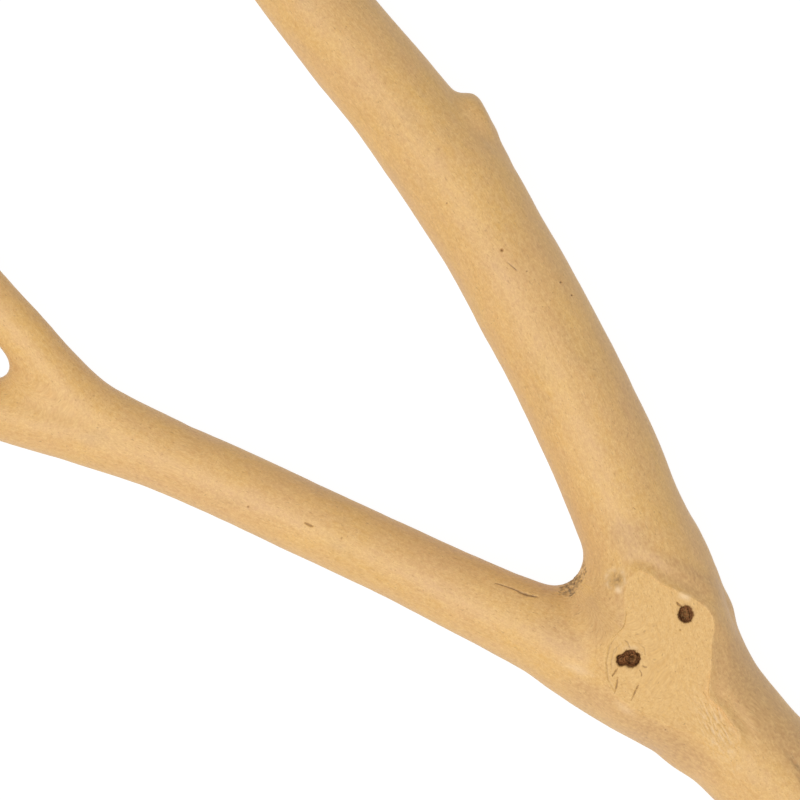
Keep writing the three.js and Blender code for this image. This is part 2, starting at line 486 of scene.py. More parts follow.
# %% Where the marks are
# Places are millimetres from the fork, seen from straight above the middle, on the side facing up.
PITH_HOLES = [
    {"at": (-10.6, 2.2), "half": (2.6, 2.6), "depth": 3},
    {"at": (-12.1, 2.2), "half": (1.6, 2.1), "depth": 2.6},
    {"at": (-13.3, 1.8), "half": (1.9, 1.7), "depth": 2.4},
    {"at": (5.8, 15.7), "half": (2.2, 2.55), "depth": 2.2},
]
CRACKS = [  # line, width, depth
    [[(-14.6, -0.6), (-15.4, -1.7), (-16.3, -3)], 0.42, 0.5],
    [[(-14.6, -3.3), (-14.9, -5.6), (-15.6, -7.9)], 0.35, 0.4],
    [[(-8.3, -5.4), (-9.4, -7.6), (-10.5, -10.2)], 0.35, 0.4],
    [[(-8, -1.2), (-7.4, -2.2), (-7.5, -3.2)], 0.3, 0.25],
    [[(-7.6, 0.2), (-6.4, -0.4), (-5.6, -0.3)], 0.25, 0.2],
    [[(3, 19.4), (3.6, 18.6), (4.8, 17.9)], 0.45, 0.7],
    [[(-11, 5.6), (-11.6, 7), (-12.6, 8)], 0.28, 0.2],
    [[(-51.5, 25.2), (-47, 23.8), (-43.4, 22.3), (-39.4, 21.2)], 0.4, 0.3],
    [[(-44.5, 22.4), (-41.5, 21.4), (-38.6, 21)], 0.6, 0.25],
    [[(-48, 121.5), (-46, 119.8), (-44.6, 118.6)], 0.3, 0.15],
    [[(-108.6, 43.2), (-107, 42.4), (-106, 42)], 0.5, 0.6],
]
RINGS = [
    [[(-14.6, 9.4), (-17.1, 6.4), (-18.1, 1), (-17.4, -4.2), (-15, -8.2)], 0.4, 0.14],
    [[(-13.2, 7.2), (-15.7, 5), (-16.6, 1.4), (-16.4, -1.4)], 0.35, 0.08],
    [[(-8.4, 7), (-6.6, 5.4), (-6.2, 2.8)], 0.3, 0.06],
]
PINHOLES = [  # place, radius, depth
    [(-49.4, 125), 0.55, 0.9], [(-41.9, 118.7), 0.3, 0.4], [(-31.7, 115.4), 0.4, 0.5],
    [(-28.4, 111.5), 0.35, 0.5], [(-125.6, 47.9), 0.35, 0.4], [(4.2, 10.9), 0.3, 0.4],
    [(-97.5, 38.6), 0.3, 0.3], [(-66, 139), 0.3, 0.3], [(8.6, 56), 0.3, 0.3], [(-0.4, -19), 0.3, 0.3],
]
PALE_AND_HIGHLIGHT_SPOTS = [  # place, half sizes, turn, strength
    [(5.4, 21), (2, 1.1), -20, 0.75], [(-14.6, 23), (1.1, 1.2), 30, 0.9], [(-13.2, 28.4), (1, 2), 0, 0.4],
    # These two spots are painted highlight: on the lit underside of the left limb near the fork, and on the
    # lit slope below the face's lower left edge.
    [(-27, -0.6), (5, 1.5), -25, 0.4], [(-12.5, -12.5), (3.5, 1.4), -35, 0.35],
    [(-10.6, 5.4), (2.4, 0.8), 0, 0.3],
]
# Painted shade: these spots darken the grooves beside the sawn face, the stem's shaded right flank and the
# slope below the face's lower edge. Round the face they also stand for browner wood that was never sawn.
BROWN_AND_SHADE_SPOTS = [  # browner unsawn wood, and painted shade: place, half sizes, turn, strength
    [(26, -8), (7, 20), 25, 0.85], [(45, -30), (7, 22), 42, 1], [(5, 27.5), (15, 3.5), -28, 1],
    [(-19, 15), (5, 9), 0, 0.6], [(-13, 17), (3, 8), 0, 0.8], [(-1, -22.5), (16, 4.5), -28, 1],
    [(-22, -9), (9, 3.5), -28, 0.8], [(-32, 9), (8, 4), -28, 0.6], [(-11, 38), (8, 5), -45, 0.9],
]
CROTCH_BARK = {"at": (-28.4, 25.4, 23.5), "reach": 10, "across": (0.74, -0.67, 0)}
DENT = {"at": (-15.4, 26.4), "half": (2.7, 2.6), "depth": 0.8}
TORN_FIBRES = {"from": (10.5, -10), "to": (20, -29), "reach": 6.5}
STEM_STREAKS = [
    [[(34.5, -23.5), (40, -30.5), (47, -36.5), (58, -49)], 1.5, 0.5],
    [[(38, -31), (43, -37.5), (52, -46)], 1.1, 0.35],
]
UPPER_SIDE = 22 * MM  # above this height a point is on the side that faces up
FACE_MIDDLE = (-1, 2)
FACE_REACH = 30
FACE_LEAST_HEIGHT = 30 * MM
CARVED_REACH = 45
VIEW_MIDDLE = np.array((-80, 80))
VIEW_RISE = 1600  # mm above the plane on which places are measured
VIEW_PLANE = 20
print("marks:", len(CRACKS), "cracks,", len(PINHOLES), "pinholes,", len(STEM_STREAKS), "streaks")

# %% [markdown]
# ## How far a point is from a mark
#
# The marks were placed on a flat plan of the branch, seen from above, so every point of the skin is
# taken to that plan first. Then its distance from a line or from an oval spot is plain geometry.

# %% Distances from lines and spots
def plan(places):
    """Where points are seen from above the middle, as millimetres from the fork."""
    away = (places - np.array(FORK)) / MM
    nearer = VIEW_RISE / (VIEW_RISE - (away[:, 2:] - VIEW_PLANE))
    return (away[:, :2] - VIEW_MIDDLE) * nearer + VIEW_MIDDLE


def gap_to_line(flat, line):
    """Distance in plan from a line through a few places, and how far along it, from 0 to 1."""
    line = np.array(line, float)
    onward = np.diff(line, axis=0)
    t = ((flat[:, None] - line[:-1]) * onward).sum(axis=2) / (onward ** 2).sum(axis=1)
    reach = np.linalg.norm(flat[:, None] - line[:-1] - onward * np.clip(t, 0, 1)[:, :, None], axis=2)
    best = np.argmin(reach, axis=1)
    row = np.arange(len(flat))
    return reach[row, best], (best + np.clip(t[row, best], 0, 1)) / len(onward)


def gap_to_spot(flat, at, half=(1, 1), turn=0):
    """Distance in plan from a spot, counted in its own half sizes."""
    away = flat - np.array(at)
    c, s = math.cos(math.radians(turn)), math.sin(math.radians(turn))
    return np.hypot((away[:, 0] * c + away[:, 1] * s) / half[0], (away[:, 1] * c - away[:, 0] * s) / half[1])


print("the sawn face's middle in plan:", plan(np.array([SAWN_CENTRE]))[0].round(1), "mm")

# %% [markdown]
# ## The sawn ends
#
# Four of the limbs' ends are sawn across. Drying splits a round of wood from the pith outwards, and no
# two ends split alike, so each has its own list of drying checks.

# %% Where the sawn ends are
END_PLANES = [("stem_and_upper", 0), ("stem_and_upper", -1), ("upper_twig", -1), ("lower_twig", -1)]
DRYING_CHECKS = [  # on each sawn end: angle round the pith, and length as a share of the radius
    [(0.6, 0.6), (2.5, 0.85), (4.6, 0.45)], [(1.4, 0.9), (3.7, 0.4), (5.2, 0.55)],
    [(2.9, 0.7), (5.6, 0.35)], [(4.1, 0.75), (0.9, 0.3)],
]


def height_over_end(places, name, end):
    """Height above a limb's sawn end, and distance from the limb's axis there."""
    start, along, radii, _ = COURSES[name]
    way = along[end] * (-1 if end == 0 else 1)
    away = places - start[end]
    height = away @ way
    return height, np.linalg.norm(away - height[:, None] * way, axis=1), radii[end]


print("sawn ends:", len(END_PLANES), "with", sum(len(checks) for checks in DRYING_CHECKS), "drying checks")

# %% [markdown]
# ## A finer skin where it is carved
#
# Squares of nearly a millimetre can't hold a crack of 0.3 mm. Dividing the whole branch would make it
# far too heavy, so faces are divided only where there is something to carve, and twice where the
# marks are sharp.

# %% Divide the skin where it is carved
def coarse_places(places):
    flat, up = plan(places), places[:, 2] > UPPER_SIDE
    chosen = up & (gap_to_spot(flat, FACE_MIDDLE) < FACE_REACH)
    chosen |= np.linalg.norm(places - np.array(from_fork(*CROTCH_BARK["at"])), axis=1) < 10 * MM
    chosen |= gap_to_spot(flat, (-60, 161)) < 14
    for line, width, _ in STEM_STREAKS:
        chosen |= up & (gap_to_line(flat, line)[0] < width + 1.5)
    for line, _, _ in CRACKS:
        chosen |= up & (gap_to_line(flat, line)[0] < 2)
    for at, radius, _ in PINHOLES:
        chosen |= up & (gap_to_spot(flat, at) < radius + 2)
    for name, end in END_PLANES:
        height, reach, radius = height_over_end(places, name, end)
        chosen |= (height > -1.6 * MM) & (reach < radius + 2 * MM)
    return chosen


def fine_places(places):
    flat, up = plan(places), places[:, 2] > UPPER_SIDE
    chosen = np.zeros(len(places), bool)
    for hole in PITH_HOLES:
        chosen |= up & (gap_to_spot(flat, hole["at"], hole["half"]) < 1.7)
    for line, width, _ in CRACKS + RINGS:
        chosen |= up & (gap_to_line(flat, line)[0] < width + 0.7)
    for at, radius, _ in PINHOLES:
        chosen |= up & (gap_to_spot(flat, at) < radius + 0.8)
    chosen |= up & (gap_to_line(flat, [TORN_FIBRES["from"], TORN_FIBRES["to"]])[0] < TORN_FIBRES["reach"])
    chosen |= up & (gap_to_spot(flat, DENT["at"], DENT["half"]) < 1.3)
    rim = np.abs(beside_outline(on_sawn_face(places)[:, :2])[0]) < 1 * MM
    chosen |= up & (gap_to_spot(flat, FACE_MIDDLE) < FACE_REACH) & rim
    chosen |= np.linalg.norm(places - np.array(from_fork(*CROTCH_BARK["at"])), axis=1) < 7 * MM
    for name, end in END_PLANES:
        height, reach, radius = height_over_end(places, name, end)
        chosen |= (height > -1 * MM) & (reach < radius * 0.35)
    return chosen


def divide(piece, where):
    centres = np.empty(len(piece.data.polygons) * 3)
    piece.data.polygons.foreach_get("center", centres)
    chosen = where(centres.reshape(-1, 3))
    clear_selection()
    bpy.context.view_layer.objects.active = piece
    edit("FACE")
    bpy.ops.object.mode_set(mode="OBJECT")
    piece.data.polygons.foreach_set("select", chosen)
    bpy.ops.object.mode_set(mode="EDIT")
    bpy.ops.mesh.subdivide(number_cuts=1, smoothness=1)
    clear_selection()
    return int(chosen.sum())


print("faces divided once:", divide(branch, coarse_places))
print("faces divided twice:", divide(branch, fine_places))
smooth_where(branch, np.ones(len(branch.data.vertices)), 2)
print("faces now:", len(branch.data.polygons))

# %% [markdown]
# ## Low bumps
#
# Sanded wood still has long, low bumps, and it thickens a little where a twig or a fork once pulled
# on it. A proportional edit would do it by hand. Here each point moves along its outward direction by
# smooth noise, and a few bumps of chosen size are added.

# %% Raise the low bumps
BUMPS = [  # place, reach and height
    [(-51, 155.5, 20), 9, 1], [(-73.5, 133, 20), 16, 0.5], [(-4, 69, 21), 16, 0.5], [(29, -3, 19), 14, 0.5],
    [(18.5, 18, 19), 8, 0.9],
]


def wander(points, size, offset=0.0):
    """Smooth noise from -1 to 1, with bumps of about the given size."""
    return np.array([noise.noise(p) for p in (points / size + offset).tolist()])


def swell(piece):
    places, outward = vertex_rows(piece), vertex_normals(piece)
    bumps = 0.2 * wander(places, 15 * MM, 20) + 0.07 * wander(places, 5 * MM, 30)
    for at, reach, height in BUMPS:
        away = np.linalg.norm(places - np.array(from_fork(*at)), axis=1)
        bumps += height * falloff(away, reach * MM)
    move_vertices(piece, places + outward * bumps[:, None] * MM)
    return bumps


bumps = swell(branch)
print("bumps from", round(bumps.min(), 2), "to", round(bumps.max(), 2), "mm")

# %% [markdown]
# ## Carving
#
# Each mark is a depth that the skin is pushed in by, worked out for every point at once, as a
# sculpting brush would. The marks also leave masks behind, one number per point, which the finish
# reads later: what is sawn, what is pith, bark or crack, what is pale wood and painted highlight,
# and what is brown wood and painted shade. What every mark needs is kept together, so that each
# mark has a short function of its own.

# %% What every mark needs
MASKS = ("sawn", "ends", "pith", "crack", "bark", "pale", "browner_and_shade")


class Skin:
    """The branch's points, with the depth and the masks that the marks leave on them."""

    def __init__(self, piece):
        self.places, self.outward = vertex_rows(piece), vertex_normals(piece)
        self.flat = plan(self.places)
        self.up = (self.places[:, 2] > UPPER_SIDE) & (self.outward[:, 2] > -0.2)
        self.depth = np.zeros(len(self.places))
        self.masks = {name: np.zeros(len(self.places)) for name in MASKS}

    def mark(self, name, strength, points=slice(None)):
        """Raises a mask at some points, and never lowers it."""
        self.masks[name][points] = np.maximum(self.masks[name][points], strength)


skin = Skin(branch)
print("points that face up:", int(skin.up.sum()), "of", len(skin.up))

# %% [markdown]
# ## The saw cut
#
# One stroke of the saw took both shoots off, so nothing inside the outline stands above the sawn
# plane. Where the fibres tore, the cut runs out upwards. Beside the face, on its upper right, the
# limb sinks in a shallow groove. A bisect would cut the whole branch, so the points are lowered.

# %% Saw the face flat
SAW_ROUGHNESS = 0.05 * MM
RUN_OUT = 0.1  # how steeply the cut leaves the wood in the torn tail
RUN_OUT_FROM = -17 * MM
GROOVE_DEPTH = 1.1 * MM
GROOVE_WAY = (0.6, 0.8)  # the groove lies on this side of the face


def saw_flat(skin):
    """Cuts the sawn face, and gives each point's distance outside the outline."""
    local = on_sawn_face(skin.places)
    close = np.flatnonzero(skin.up & (gap_to_spot(skin.flat, FACE_MIDDLE) < CARVED_REACH))
    gap = np.full(len(skin.places), 1.0)
    gap[close], out = beside_outline(local[close, :2])
    groove = falloff(np.abs(gap[close] - 3 * MM), 3.2 * MM) * np.clip(out @ GROOVE_WAY - 0.25, 0, 0.6)
    skin.depth[close] += GROOVE_DEPTH * groove
    uneven = 0.35 * MM * wander(skin.places[close], 4 * MM, 40)
    uneven += 0.1 * MM * wander(skin.places[close], 0.9 * MM, 41)
    gap[close] += uneven
    inside = skin.up & (gap < 0) & (local[:, 2] > -3.5 * MM)
    height = SAW_ROUGHNESS * wander(skin.places, 1.2 * MM)
    height += RUN_OUT * np.maximum(0, RUN_OUT_FROM - local[:, 1])
    local[inside, 2] = np.minimum(local[:, 2], height)[inside]
    skin.places[inside] = (local @ sawn_axes + np.array(SAWN_CENTRE))[inside]
    skin.mark("sawn", falloff(np.maximum(0, -local[inside, 2] - 0.25 * MM), 0.5 * MM), inside)
    below_tail = falloff(np.maximum(0, -10 - skin.flat[:, 1] + 0.4 * skin.flat[:, 0]), 16)
    skin.masks["sawn"] *= 0.35 + 0.65 * below_tail
    return gap


gap = saw_flat(skin)
print("points on the sawn face:", int((gap < 0).sum()))

# %% [markdown]
# ## The pith holes
#
# A shoot's pith is soft and has fallen out, which leaves a dark, uneven hole. A boolean with a cone
# would give a hole that looks drilled. Here noise makes its edge ragged and its floor uneven, and the
# mask is a little lighter in the middle, where the light gets in.

# %% Carve the pith holes
def ragged_edge(skin):
    near = np.flatnonzero(skin.up & (gap_to_spot(skin.flat, (-8, 12)) < CARVED_REACH))
    ragged = np.zeros(len(skin.places))
    ragged[near] = wander(skin.places[near], 0.9 * MM) + 0.5 * wander(skin.places[near], 0.35 * MM, 7)
    return ragged


def carve_pith(skin, hole, ragged):
    reach = gap_to_spot(skin.flat, hole["at"], hole["half"]) + 0.16 * ragged
    inner = skin.up & (reach < 1.25)
    shape = np.clip((1.08 - reach[inner]) / 0.35, 0, 1)
    floor_noise = 1 + 0.35 * wander(skin.places[inner] * (0.5, 2, 1), 0.8 * MM, 3)
    core = 0.35 * falloff(np.abs(reach[inner] - 0.42), 0.2)
    skin.depth[inner] = np.maximum(skin.depth[inner], hole["depth"] * MM * shape * (floor_noise - core))
    brown = np.clip((1.1 - reach) / 0.14, 0, 1)
    brown = brown * (1 - 0.22 * falloff(np.abs(reach - 0.25 + 0.2 * ragged), 0.4))
    skin.mark("pith", brown[inner], inner)
    halo = skin.up & (reach < 1.9)
    skin.mark("crack", 0.28 * falloff(np.abs(reach[halo] - 1.12), 0.35), halo)


ragged = ragged_edge(skin)
for hole in PITH_HOLES:
    carve_pith(skin, hole, ragged)
print("deepest pith:", round(skin.depth.max() / MM, 1), "mm")

# %% [markdown]
# ## Cracks, rings and pinholes
#
# A crack is a line that is widest in the middle and fades at both ends, so its width follows half a
# sine wave. An opened growth ring is the same line, only shallower, and a pinhole is a small spot.

# %% Carve the cracks, the rings and the pinholes
def carve_lines(skin, ragged):
    for line, width, deep in CRACKS:
        reach, share = gap_to_line(skin.flat, line)
        taper = np.sin(np.clip(share, 0.04, 0.96) * math.pi) ** 0.6
        cut = skin.up * falloff(reach + 0.12 * ragged, width * taper)
        skin.depth += deep * MM * cut
        skin.mark("crack", cut * 0.9)
    for line, width, deep in RINGS:
        reach, share = gap_to_line(skin.flat, line)
        cut = skin.up * falloff(reach, width) * np.sin(np.clip(share, 0.02, 0.98) * math.pi) ** 0.5
        skin.depth += deep * MM * cut
        skin.mark("crack", cut * 0.4)


def carve_pinholes(skin):
    for at, radius, deep in PINHOLES:
        reach = gap_to_spot(skin.flat, at)
        skin.depth += deep * MM * skin.up * falloff(reach, radius * 1.2)
        skin.mark("crack", skin.up * falloff(reach, radius * 1.3))


carve_lines(skin, ragged)
carve_pinholes(skin)
print("carved", len(CRACKS), "cracks,", len(RINGS), "ring lines and", len(PINHOLES), "pinholes")

# %% [markdown]
# ## Dent, pale spots and painted highlight, browner wood and painted shade
#
# A knot beside the face has been knocked, which leaves a grey dent with a pale rim. Bruised wood is
# pale too, and two of the pale spots are painted highlight, on the lit slopes of the left limb near
# the fork and below the face's lower left edge. The skin round the face was never sawn, so it is a
# shade browner than the fresh cut, which makes the face's outline show. The brown spots also hold
# painted shade, in the grooves beside the face, on the stem's shaded right flank and below the
# face's lower edge. Spots with soft, patchy edges do for all three.

# %% Press the dent and colour the spots
def press_dent(skin):
    dent = gap_to_spot(skin.flat, DENT["at"], DENT["half"])
    hollow = np.flatnonzero(skin.up & (dent < 1.6))
    dent, uneven = dent[hollow], wander(skin.places[hollow], 1.1 * MM, 11)
    skin.depth[hollow] += DENT["depth"] * MM * falloff(dent + 0.25 * uneven, 1.4) * (1 + 0.8 * uneven)
    grey = 0.8 * falloff(dent + 0.3 * uneven, 1.5) * np.clip(0.75 + uneven, 0, 1)
    skin.mark("bark", grey, hollow)
    skin.mark("pale", 0.6 * falloff(np.abs(dent - 1.05), 0.5) * np.clip(0.6 + uneven, 0, 1), hollow)


# Most of these spots are paler wood, and two of them are painted highlight on lit slopes.
def lighten_pale_and_highlight_spots(skin):
    for at, half, turn, strength in PALE_AND_HIGHLIGHT_SPOTS:
        reach = gap_to_spot(skin.flat, at, half, turn)
        lit = np.flatnonzero(skin.up & (reach < 2))
        patchy = reach[lit] + 0.35 * wander(skin.places[lit], 1.5 * MM, 50)
        skin.mark("pale", strength * falloff(patchy, 1.6), lit)


# These spots are browner unsawn wood, and painted shade in the grooves and on the shaded flanks round the
# face.
def darken_brown_and_shade_spots(skin, gap):
    for at, half, turn, strength in BROWN_AND_SHADE_SPOTS:
        reach = gap_to_spot(skin.flat, at, half, turn)
        brown = np.flatnonzero(skin.up & (gap > 0) & (reach < 1.5))
        patchy = reach[brown] + 0.25 * wander(skin.places[brown], 5 * MM, 70)
        shade = strength * falloff(np.maximum(0, patchy - 0.5), 1) * np.clip(gap[brown] / (0.8 * MM), 0, 1)
        skin.mark("browner_and_shade", shade, brown)


press_dent(skin)
lighten_pale_and_highlight_spots(skin)
darken_brown_and_shade_spots(skin, gap)
print("spots:", len(PALE_AND_HIGHLIGHT_SPOTS), "pale and", len(BROWN_AND_SHADE_SPOTS), "brown")

# %% [markdown]
# ## Torn fibres
#
# At the tail of the cut the saw broke through and pulled fibres out, which are long, thin and pale.
# Noise that is stretched far along one way and hardly across it makes such strands.

# %% Tear the fibres
def tear_fibres(skin):
    reach, share = gap_to_line(skin.flat, [TORN_FIBRES["from"], TORN_FIBRES["to"]])
    torn = np.flatnonzero(skin.up & (reach < TORN_FIBRES["reach"]))
    flat = skin.flat[torn]
    way = np.array(TORN_FIBRES["to"], float) - TORN_FIBRES["from"]
    way /= np.linalg.norm(way)
    fibres = np.column_stack([flat @ way * 0.2, flat @ (way[1], -way[0]), np.zeros(len(torn))])
    strands = wander(fibres, 0.55) + 0.6 * wander(fibres, 0.25, 5)
    frayed = falloff(reach[torn], TORN_FIBRES["reach"]) * (0.35 + 0.65 * np.sin(share[torn] * math.pi))
    skin.depth[torn] += 0.3 * MM * strands * frayed
    skin.mark("pale", frayed * np.clip(0.2 + strands, 0, 1), torn)
    skin.mark("sawn", np.clip(frayed * 2, 0, 0.8), torn)
    skin.mark("crack", frayed * np.clip(strands - 0.35, 0, 1) * 0.7, torn)
    return len(torn)


print("points among the torn fibres:", tear_fibres(skin))

# %% [markdown]
# ## Bark that is left
#
# In the crotch, where no knife reaches, a little rough bark is left, and two streaks of it lie along
# the stem. Noise with small bumps makes the scales, and larger noise breaks the patch's edge.

# %% Leave the bark
def leave_crotch_bark(skin):
    away = (skin.places - np.array(from_fork(*CROTCH_BARK["at"]))) / MM
    aside = away @ CROTCH_BARK["across"]
    away = np.sqrt((away ** 2).sum(axis=1) + 3 * aside ** 2)
    rough = np.flatnonzero(away < CROTCH_BARK["reach"])
    places = skin.places[rough]
    scales = wander(places, 1 * MM, 2) + 0.5 * wander(places, 0.45 * MM, 9)
    edge = wander(places, 2.6 * MM, 60) + 0.5 * scales
    grip = falloff(away[rough], CROTCH_BARK["reach"])
    skin.depth[rough] -= 0.34 * MM * scales * grip
    patch = np.clip((grip * 1.5 + 0.7 * edge - 0.6) * 3, 0, 1) * np.clip(0.55 + 1.4 * scales, 0.1, 1)
    skin.mark("bark", patch, rough)


def leave_streaks(skin):
    for line, width, deep in STEM_STREAKS:
        reach, share = gap_to_line(skin.flat, line)
        streak = np.flatnonzero(skin.up & (reach < width * 2))
        broken = wander(skin.places[streak] * (0.5, 0.5, 1), 0.7 * MM, 4)
        taper = np.sin(np.clip(share[streak], 0.05, 0.95) * math.pi)
        cut = falloff(reach[streak] + 0.5 * broken, width) * taper
        skin.depth[streak] += deep * MM * cut
        skin.mark("bark", cut * np.clip(0.7 + broken, 0, 1) * 0.8, streak)


leave_crotch_bark(skin)
leave_streaks(skin)
print("points with bark:", int((skin.masks["bark"] > 0.1).sum()))

# %% [markdown]
# ## Finishing the ends
#
# Each end is a plain cross cut with a small pith in the middle and a few drying checks, which bend a
# little and get thinner outwards. When every mark is worked out, the points are moved, all at once.

# %% Finish the ends and move the points
PITH_SHARE = 0.14  # of the end's radius
PITH_DEPTH = 1.5 * MM
CHECK_DEPTH = 0.6 * MM
CHECK_WIDTH = 0.45 * MM


def finish_end(skin, name, end, checks):
    height, reach, radius = height_over_end(skin.places, name, end)
    face = (height > -0.4 * MM) & (reach < radius * 1.05)
    skin.mark("sawn", falloff(np.maximum(0, -height[face] - 0.1 * MM), 0.35 * MM), face)
    skin.mark("ends", skin.masks["sawn"][face], face)
    pit = falloff(reach / (radius * PITH_SHARE), 1.3) * face
    skin.depth += PITH_DEPTH * pit
    skin.mark("pith", np.clip(pit * 2.5, 0, 1))
    away = skin.places[face] - COURSES[name][0][end]
    around = np.arctan2(away[:, 2], away @ np.cross(COURSES[name][1][end], (0, 0, 1)))
    share = reach[face] / radius
    for check, (angle, length) in enumerate(checks):
        bend = 0.25 * np.sin(share * 5 + check)
        aside = np.abs(np.angle(np.exp(1j * (around - angle - bend)))) * reach[face]
        cut = falloff(aside, CHECK_WIDTH * (1.1 - share)) * (share < length)
        skin.depth[face] += CHECK_DEPTH * cut
        skin.mark("crack", 0.75 * cut, face)


for (name, end), checks in zip(END_PLANES, DRYING_CHECKS):
    finish_end(skin, name, end, checks)
move_vertices(branch, skin.places - skin.outward * skin.depth[:, None])
for name, mask in skin.masks.items():
    print("share of points marked", name + ":", round(float((mask > 0.1).mean()), 4))

# %% [markdown]
# ## Which way the grain runs
#
# Grain follows each limb round its bends, so the finish needs to know, at each point, how far along
# its limb it is and where it is across it. At a fork a point belongs partly to both limbs, and the
# two readings are mixed by how near each limb's skin is.

# %% Store the grain and the masks
GRAIN_MIX = 4.5 * MM


def grain_readings(places):
    start = {"stem_and_upper": 0.0}
    readings, closeness = [], []
    for name in STATIONS:
        if name in PARENTS:
            joint = COURSES[name][0][:1]
            start[name] = start[PARENTS[name]] + beside_limb(joint, PARENTS[name])[2][0, 0]
        distance, _, coordinates = beside_limb(places, name)
        coordinates[:, 0] += start[name]
        readings.append(coordinates)
        closeness.append(np.exp(-np.clip(distance, 0, 0.1) / GRAIN_MIX))
    weight = np.array(closeness) ** 2
    return (np.array(readings) * weight[:, :, None]).sum(axis=0) / weight.sum(axis=0)[:, None]


def ring_readings(places, grain):
    """Distance from the pith that a point's growth rings run round."""
    flat = plan(places)
    holes = [np.linalg.norm(flat - np.array(hole["at"]), axis=1) for hole in PITH_HOLES]
    shoots = np.min(holes, axis=0) * MM
    on_face = (places[:, 2] > FACE_LEAST_HEIGHT) & (gap_to_spot(flat, FACE_MIDDLE) < FACE_REACH)
    return np.where(on_face, shoots, np.hypot(grain[:, 1], grain[:, 2]))


def store(piece, name, rows):
    kind = "FLOAT_VECTOR" if rows.ndim == 2 else "FLOAT"
    layer = piece.data.attributes.new(name, kind, "POINT")
    layer.data.foreach_set("vector" if rows.ndim == 2 else "value", rows.astype(np.float32).ravel())


grain = grain_readings(vertex_rows(branch))
store(branch, "grain", grain)
store(branch, "ring", ring_readings(vertex_rows(branch), grain))
store(branch, "skin_normal", vertex_normals(branch))
for name, mask in skin.masks.items():
    store(branch, name, mask)
print("grain runs from", grain[:, 0].min().round(3), "to", grain[:, 0].max().round(3), "m")

# %% [markdown]
# ## Parting the branch at its forks
#
# The frame has a solid for each limb, so the skin is parted at the same forks. Every piece is a copy
# of the whole branch, cut with flat planes that start in the open notch of a fork, and each cut is
# filled. Neighbours share a cut exactly, and they keep the whole branch's normals, so that no seam
# shows.

# %% Cut the pieces
NOTCH = from_fork(-27.5, 31)
SMALL_NOTCH = from_fork(-199, 91)
UPPER_CUT = (NOTCH, Vector((-0.38, 0.92, 0)))
LEFT_CUT = (NOTCH, Vector((-0.91, 0.41, 0)))
LIMB_DIVIDE = (NOTCH, Vector((0.75, 0.66, 0)))
UPPER_TWIG_CUT = (SMALL_NOTCH, Vector((-0.66, 0.75, 0)))
LOWER_TWIG_CUT = (SMALL_NOTCH, Vector((-0.96, 0.26, 0)))
TWIG_DIVIDE = (SMALL_NOTCH, Vector((0.51, 0.82, 0)))
# For each piece: the planes, and whether the side that the plane faces is kept.
CUTS = {
    "stem": [(UPPER_CUT, False), (LEFT_CUT, False)],
    "upper_limb": [(UPPER_CUT, True), (LIMB_DIVIDE, True)],
    "left_limb": [(LEFT_CUT, True), (LIMB_DIVIDE, False), (UPPER_TWIG_CUT, False), (LOWER_TWIG_CUT, False)],
    "upper_twig": [(LEFT_CUT, True), (LIMB_DIVIDE, False), (UPPER_TWIG_CUT, True), (TWIG_DIVIDE, True)],
    "lower_twig": [(LEFT_CUT, True), (LIMB_DIVIDE, False), (LOWER_TWIG_CUT, True), (TWIG_DIVIDE, False)],
}


def cut_piece(whole, name, cuts):
    piece = whole.copy()
    piece.data = whole.data.copy()
    piece.name = piece.data.name = name + "_wood"
    bpy.context.scene.collection.objects.link(piece)
    clear_selection()
    bpy.context.view_layer.objects.active = piece
    edit("FACE")
    for (place, facing), keep_faced in cuts:
        bpy.ops.mesh.select_all(action="SELECT")
        bpy.ops.mesh.bisect(plane_co=place, plane_no=facing, use_fill=True, threshold=0.001 * MM,
                            clear_inner=keep_faced, clear_outer=not keep_faced)
    clear_selection()
    keep_normals(piece)
    return piece


def keep_normals(piece):
    """The skin keeps the whole branch's normals; the flat caps inside the cuts keep their own."""
    mesh = piece.data
    mesh.polygons.foreach_set("use_smooth", [True] * len(mesh.polygons))
    kept = np.empty(len(mesh.vertices) * 3, np.float32)
    mesh.attributes["skin_normal"].data.foreach_get("vector", kept)
    kept = kept.reshape(-1, 3)
    corners = np.empty(len(mesh.loops), np.int32)
    mesh.loops.foreach_get("vertex_index", corners)
    normals = kept[corners]
    for face in mesh.polygons:
        if face.loop_total > 12:
            normals[face.loop_start:face.loop_start + face.loop_total] = face.normal
    normals /= np.linalg.norm(normals, axis=1)[:, None] + 1e-9
    mesh.normals_split_custom_set(normals.tolist())
    mesh.attributes.remove(mesh.attributes["skin_normal"])


pieces = {name: cut_piece(branch, name, cuts) for name, cuts in CUTS.items()}
bpy.data.objects.remove(branch)
for name, piece in pieces.items():
    triangles = sum(face.loop_total - 2 for face in piece.data.polygons)
    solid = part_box(name)[1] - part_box(name)[0]
    print(name, "has", triangles, "triangles; its solid is", [round(float(x) / MM, 1) for x in solid],
          "mm and the piece", [round(x / MM, 1) for x in piece.dimensions], "mm")

# %% [markdown]
# ## The finish of peeled wood
#
# Bare, sanded wood is satin. Its colour is made of long fibres, fine mottling a millimetre across, and
# wide patches that are more golden or more pink. All of them are noise that is stretched along the
# grain coordinates, so one node group serves for each, and the marks are laid over it by their masks.

# %% Node groups of the finish
def new_group(name, inputs, outputs):
    """An empty shader node group with named inputs and outputs."""
    group = bpy.data.node_groups.new(name, "ShaderNodeTree")
    for label, kind, value in inputs:
        socket = group.interface.new_socket(name=label, in_out="INPUT", socket_type=kind)
        if value is not None:
            socket.default_value = value
    for label, kind in outputs:
        group.interface.new_socket(name=label, in_out="OUTPUT", socket_type=kind)
    return group, group.nodes.new("NodeGroupInput"), group.nodes.new("NodeGroupOutput")


